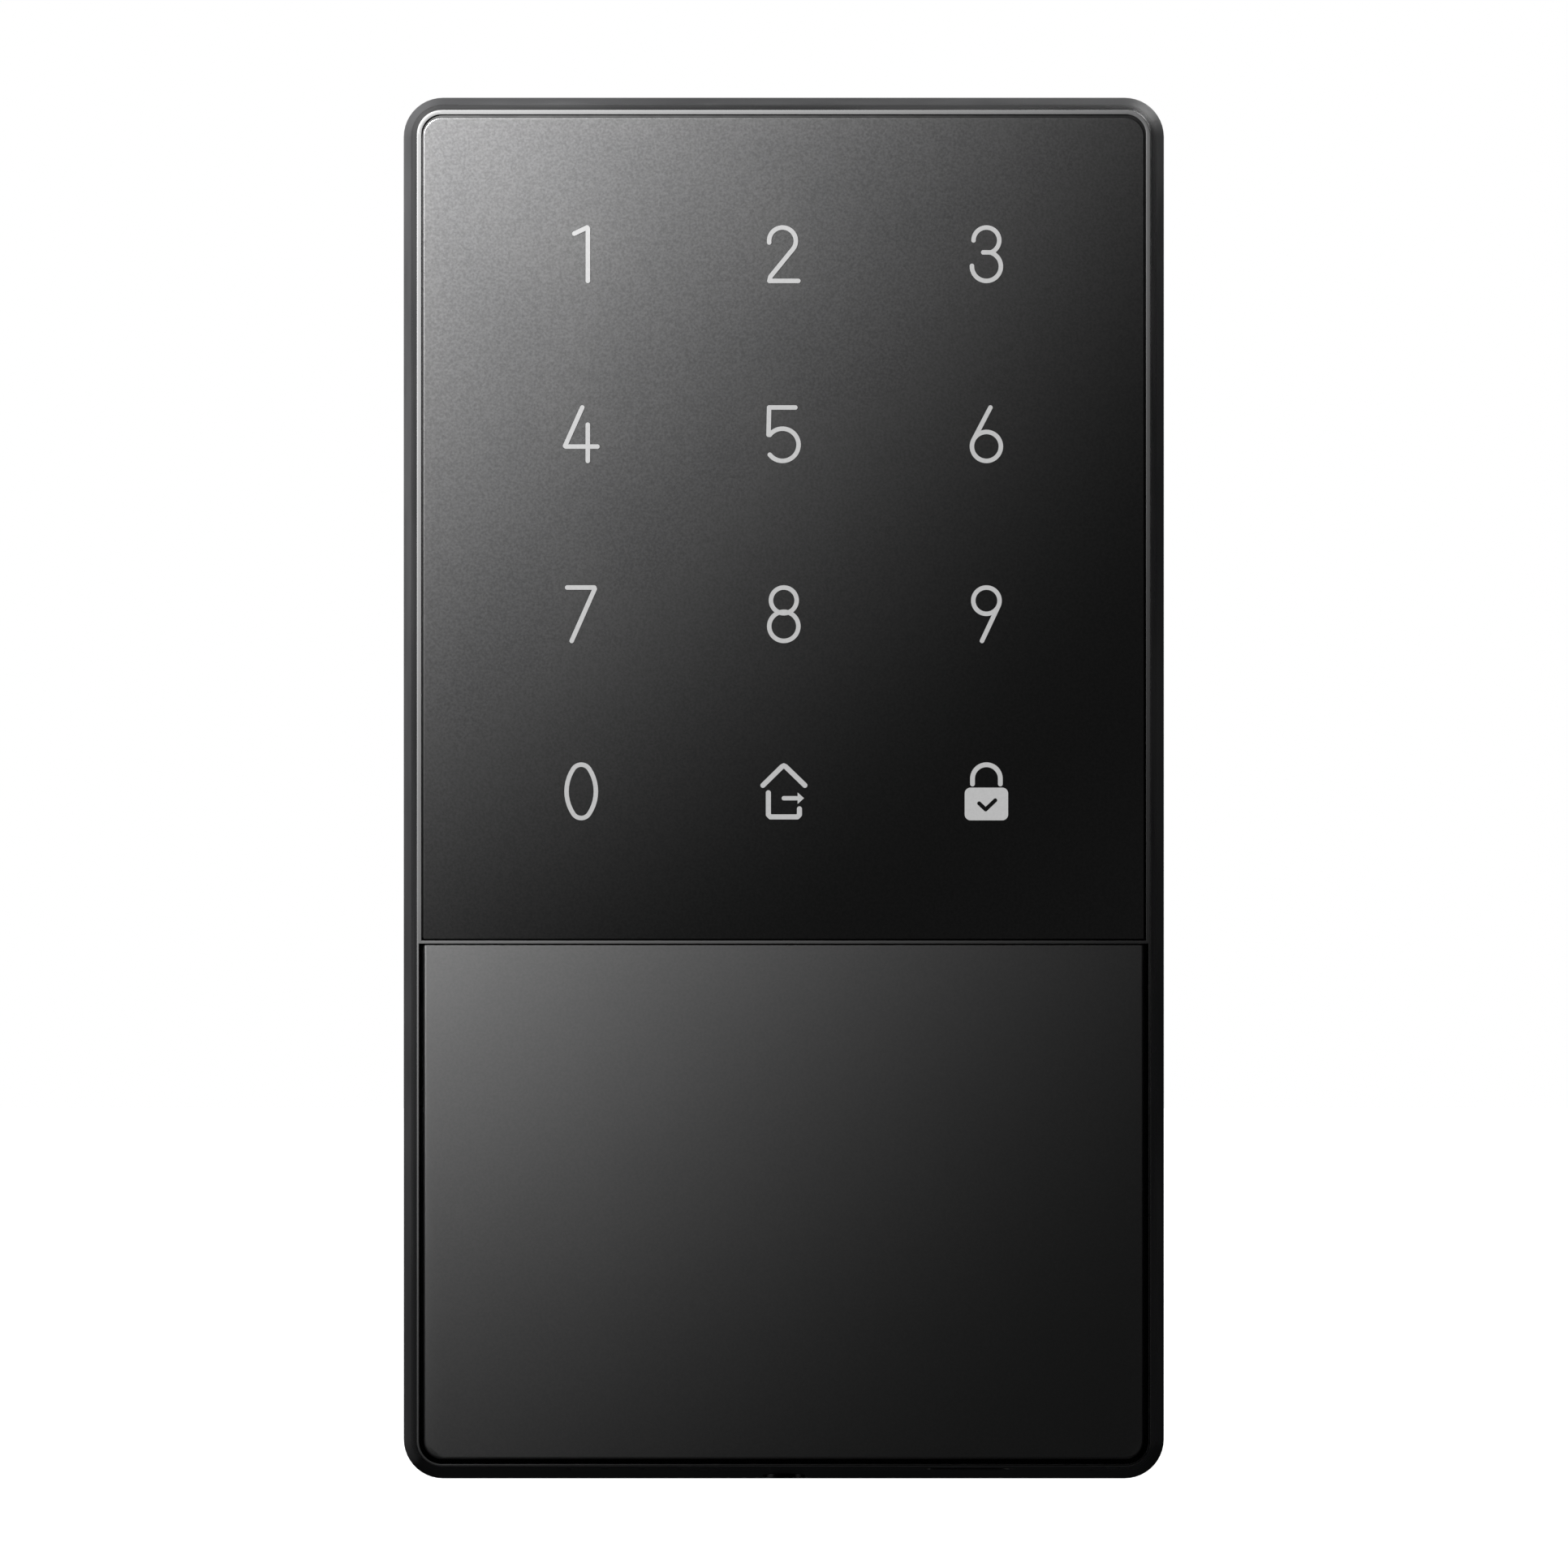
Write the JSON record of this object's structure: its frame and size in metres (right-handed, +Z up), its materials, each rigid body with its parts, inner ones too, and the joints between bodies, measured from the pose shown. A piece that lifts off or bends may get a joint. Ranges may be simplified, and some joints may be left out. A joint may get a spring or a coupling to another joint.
{
  "type": "alarm keypad panel",
  "caption": "Wall-mounted alarm keypad with a touch glass, backlit legends, a drop-down battery cover and a hook-on wall plate.",
  "frame": {"origin": "middle of the wall plate's back face, where it meets the wall", "axes": "+X to the right seen from the front, +Y into the wall, +Z up; the glass faces -Y"},
  "size_m": [0.08, 0.024, 0.1454],
  "materials": {
    "plate_plastic": "moulded, fine texture",
    "housing_plastic": "satin black",
    "seal_rubber": "matte silicone",
    "frame_plastic": "satin black",
    "touch_glass": "back-painted glass, etched matte",
    "black_tape": "foam adhesive",
    "legend_print": "light grey print",
    "amber_film": "polyimide film",
    "copper": "etched copper",
    "clear_plastic": "frosted light guide",
    "white_plastic": "moulded",
    "led_package": "phosphor resin",
    "board_green": "solder mask over fibreglass",
    "chip_black": "moulded resin",
    "tinned_steel": "tinned sheet",
    "gold_strip": "gold flash",
    "capacitor_can": "drawn can",
    "ceramic_parts": "ceramic",
    "screw_steel": "zinc plated",
    "spring_steel": "nickel-plated wire",
    "tray_plastic": "moulded black",
    "cell_wrap": "printed sleeve",
    "nickel": "nickel plate",
    "wire_red": "insulation",
    "wire_black": "insulation",
    "cream_plastic": "nylon",
    "cone_film": "thin film",
    "mesh_cloth": "woven dust mesh",
    "cover_paint": "satin black paint"
  },
  "bodies": {
    "housing": {"wall_plate": "plate_plastic", "rear_housing": "housing_plastic", "housing_seal": "seal_rubber", "front_frame": "frame_plastic", "keypad_glass": "touch_glass", "glass_tape": "black_tape", "digit_legends": "legend_print", "symbol_legends": "legend_print", "touch_film": "amber_film", "touch_electrodes": "copper", "light_guide": "clear_plastic", "light_baffle": "white_plastic", "key_leds": "led_package", "main_board": "board_green", "processor_chip": "chip_black", "radio_shield": "tinned_steel", "radio_antenna": "gold_strip", "buffer_capacitor": "capacitor_can", "board_parts": "ceramic_parts", "board_screws": "screw_steel", "housing_screws": "screw_steel", "locking_screw": "screw_steel", "tamper_switch": "chip_black", "tamper_spring": "spring_steel", "battery_tray": "tray_plastic", "tray_screws": "screw_steel", "battery_cans": "cell_wrap", "battery_caps": "nickel", "battery_springs": "spring_steel", "battery_plates": "nickel", "battery_leads": "wire_red", "power_connector": "cream_plastic", "port_board": "board_green", "usb_shell": "tinned_steel", "usb_tongue": "chip_black", "flex_connectors": "cream_plastic", "board_flex": "amber_film", "sounder_case": "chip_black", "sounder_cone": "cone_film", "sounder_magnet": "nickel", "sounder_mesh": "mesh_cloth", "sounder_leads": "wire_black", "pairing_switch": "tinned_steel", "strike_plates": "screw_steel"},
    "cover": {"service_cover": "cover_paint", "cover_pins": "screw_steel", "cover_magnets": "nickel"},
    "pairing_key": {"pairing_button": "white_plastic"},
    "tamper_pin": {"tamper_plunger": "white_plastic"}
  },
  "joints": [
    {"name": "cover_hinge", "type": "hinge", "parent": "housing", "child": "cover", "pos_m": [0, -0.02205, -0.06742], "axis": [1, 0, 0], "range_deg": [0, 100]},
    {"name": "pairing_press", "type": "slide", "parent": "housing", "child": "pairing_key", "axis": [0, 1, 0], "range_m": [0, 0.0003], "stiffness_N_per_m": 400, "springref_m": -0.0005},
    {"name": "tamper_press", "type": "slide", "parent": "housing", "child": "tamper_pin", "axis": [0, -1, 0], "range_m": [0, 0.0015], "stiffness_N_per_m": 150, "springref_m": -0.002, "deforming": ["tamper_spring"]}
  ]
}
